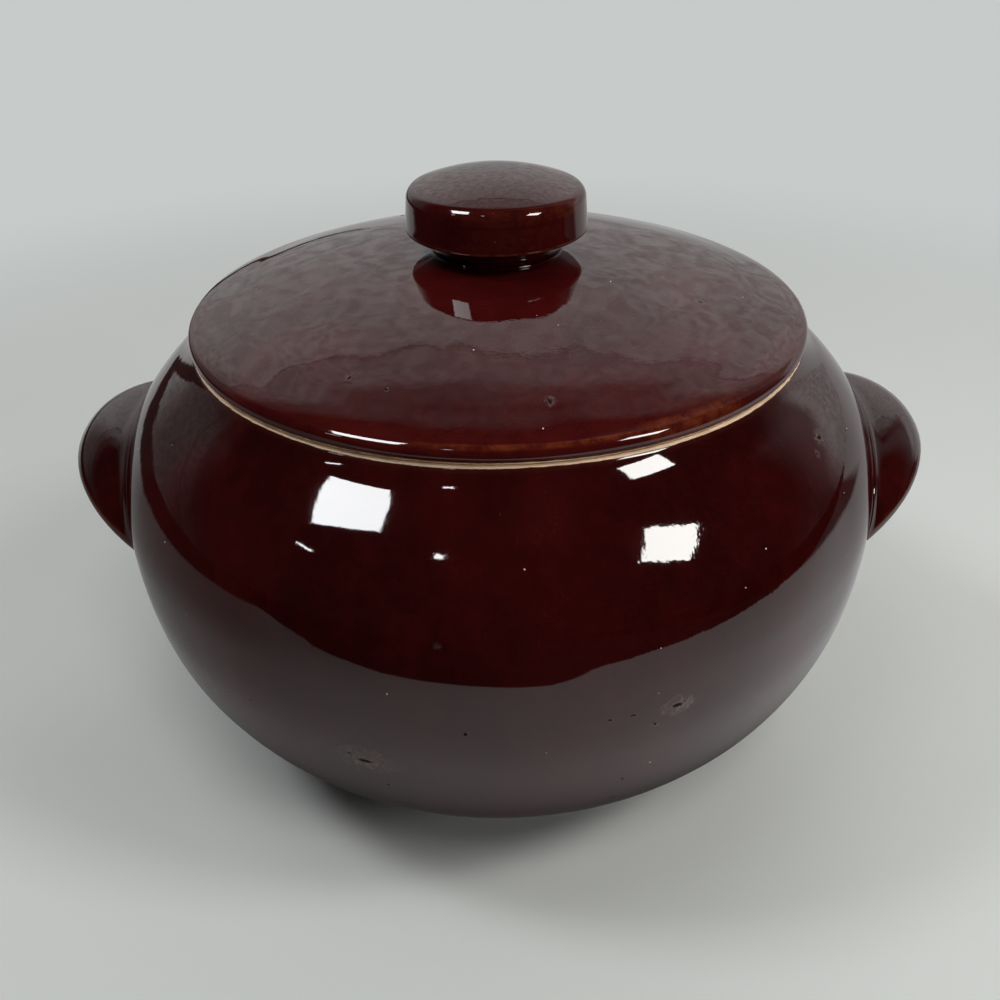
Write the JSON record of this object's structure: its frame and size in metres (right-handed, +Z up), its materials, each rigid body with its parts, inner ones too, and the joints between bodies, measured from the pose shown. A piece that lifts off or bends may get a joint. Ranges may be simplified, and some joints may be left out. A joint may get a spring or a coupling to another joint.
{
  "type": "bean pot",
  "caption": "Round-bellied glazed stoneware bean pot with side lug handles and a loose domed lid with a mushroom knob.",
  "frame": {"origin": "centre of the foot ring, on the surface that the pot stands on", "axes": "+Z up through the knob, +X towards one lug handle and -X towards the other"},
  "size_m": [0.2162, 0.19, 0.1479],
  "materials": {
    "brown_glaze": "glossy oxblood-brown glaze breaking to orange-brown on the edges, bare cream stoneware on the rim, the lid's seat and the foot ring"
  },
  "bodies": {
    "pot": {"pot_body": "brown_glaze", "lug_left": "brown_glaze", "lug_right": "brown_glaze"},
    "cover": {"lid": "brown_glaze", "lid_knob": "brown_glaze"}
  },
  "joints": [
    {"name": "lid_lift", "type": "slide", "parent": "pot", "child": "cover", "axis": [0, 0, 1], "range_m": [0, 0.08]}
  ]
}
